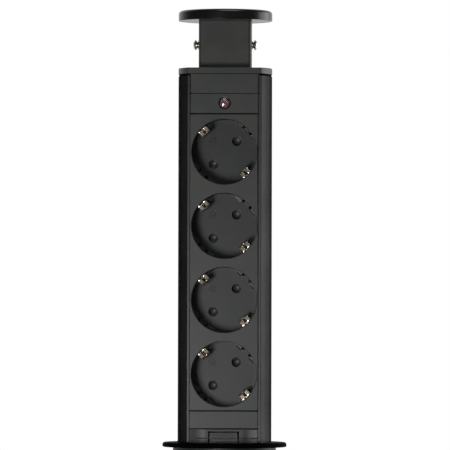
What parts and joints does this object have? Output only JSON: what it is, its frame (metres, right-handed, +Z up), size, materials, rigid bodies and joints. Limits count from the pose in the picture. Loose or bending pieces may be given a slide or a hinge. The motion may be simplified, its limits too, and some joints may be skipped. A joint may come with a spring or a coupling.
{
  "type": "pop up desk socket",
  "caption": "Pull-up desk tower with a column of round earthed sockets, a pilot lamp and a foot latch, in a flanged collar clamped through a round hole.",
  "frame": {"origin": "centre of the flange's underside, on the top of the desk", "axes": "+Z up along the column's axis, the sockets face -Y"},
  "size_m": [0.074, 0.074, 0.3216],
  "materials": {
    "black_anodised": "fine satin black anodising with faint drawing lines",
    "collar_black": "black enamel on cast metal, semi-gloss",
    "lid_black": "black enamel, satin top and brushed rim",
    "neck_black": "fine matt black powder coat",
    "front_plastic": "fine spark-eroded moulded texture",
    "cup_plastic": "moulded satin",
    "shutter_plastic": "moulded satin",
    "black_nylon": "moulded glass-filled nylon",
    "carrier_plastic": "natural moulded plastic",
    "terminal_plastic": "white moulded plastic",
    "contact_brass": "bright rolled strip",
    "clip_bronze": "tinned bronze strip, bright on the bends",
    "bright_nickel": "bright nickel plate",
    "zinc_steel": "zinc plated",
    "spring_steel": "drawn wire",
    "bezel_black": "gloss moulded",
    "red_lens": "clear red moulded lens",
    "lamp_glass": "clear glow lamp",
    "board": "laminate board",
    "rubber": "moulded rubber",
    "foam": "closed-cell foam",
    "lead_brown": "brown insulation",
    "lead_blue": "blue insulation",
    "lead_green_yellow": "green and yellow insulation"
  },
  "bodies": {
    "collar": {"collar": "collar_black", "guide_key": "black_nylon", "flange_gasket": "foam"},
    "clamp": {"clamp_washer": "zinc_steel", "clamp_nut": "black_nylon"},
    "column": {"body_profile": "black_anodised", "top_blank": "front_plastic", "indicator_panel": "front_plastic", "indicator_bezel": "bezel_black", "indicator_lens": "red_lens", "indicator_lamp": "lamp_glass", "indicator_board": "board", "socket_plate": "front_plastic", "lower_blank": "front_plastic", "latch_block": "front_plastic", "latch_spring": "spring_steel", "contact_carrier": "carrier_plastic", "carrier_cover": "carrier_plastic", "carrier_screws": "zinc_steel", "live_bar": "contact_brass", "neutral_bar": "contact_brass", "earth_bar": "contact_brass", "terminal_block": "terminal_plastic", "terminal_screws": "zinc_steel", "live_lead": "lead_brown", "neutral_lead": "lead_blue", "earth_lead": "lead_green_yellow", "lamp_leads": "lead_blue", "top_cap": "front_plastic", "top_cap_screws": "zinc_steel", "neck": "neck_black", "lid_post": "black_nylon", "lid": "lid_black", "lid_screws": "zinc_steel", "neck_screws": "bright_nickel", "neck_cup_washers": "bright_nickel", "neck_base_screws": "zinc_steel", "foot": "black_nylon", "foot_screws": "zinc_steel", "gland_body": "black_nylon", "gland_locknut": "black_nylon", "gland_cap_nut": "black_nylon", "gland_seal": "rubber", "socket_insert_1": "cup_plastic", "earth_clip_1": "clip_bronze", "shutter_spring_1": "spring_steel", "socket_insert_2": "cup_plastic", "earth_clip_2": "clip_bronze", "shutter_spring_2": "spring_steel", "socket_insert_3": "cup_plastic", "earth_clip_3": "clip_bronze", "shutter_spring_3": "spring_steel", "socket_insert_4": "cup_plastic", "earth_clip_4": "clip_bronze", "shutter_spring_4": "spring_steel"},
    "latch_button": {"latch_button": "front_plastic"},
    "shutter_1": {"shutter_1": "shutter_plastic"},
    "shutter_2": {"shutter_2": "shutter_plastic"},
    "shutter_3": {"shutter_3": "shutter_plastic"},
    "shutter_4": {"shutter_4": "shutter_plastic"}
  },
  "joints": [
    {"name": "column_slide", "type": "slide", "parent": "collar", "child": "column", "axis": [0, 0, 1], "range_m": [-0.2444, 0]},
    {"name": "latch_press", "type": "slide", "parent": "column", "child": "latch_button", "axis": [0, 1, 0], "range_m": [0, 0.002], "stiffness_N_per_m": 800, "springref_m": -0.003, "deforming": ["latch_spring"]},
    {"name": "clamp_travel", "type": "slide", "parent": "collar", "child": "clamp", "axis": [0, 0, 1], "range_m": [-0.01, 0.017]},
    {"name": "shutter_1_turn", "type": "hinge", "parent": "column", "child": "shutter_1", "pos_m": [0, 0.00605, 0.1695], "axis": [0, -1, 0], "range_deg": [0, 40], "stiffness_Nm_per_rad": 0.004, "springref_deg": -20.05, "deforming": ["shutter_spring_1"]},
    {"name": "shutter_2_turn", "type": "hinge", "parent": "column", "child": "shutter_2", "pos_m": [0, 0.00605, 0.127], "axis": [0, -1, 0], "range_deg": [0, 40], "stiffness_Nm_per_rad": 0.004, "springref_deg": -20.05, "deforming": ["shutter_spring_2"]},
    {"name": "shutter_3_turn", "type": "hinge", "parent": "column", "child": "shutter_3", "pos_m": [0, 0.00605, 0.0845], "axis": [0, -1, 0], "range_deg": [0, 40], "stiffness_Nm_per_rad": 0.004, "springref_deg": -20.05, "deforming": ["shutter_spring_3"]},
    {"name": "shutter_4_turn", "type": "hinge", "parent": "column", "child": "shutter_4", "pos_m": [0, 0.00605, 0.042], "axis": [0, -1, 0], "range_deg": [0, 40], "stiffness_Nm_per_rad": 0.004, "springref_deg": -20.05, "deforming": ["shutter_spring_4"]}
  ]
}
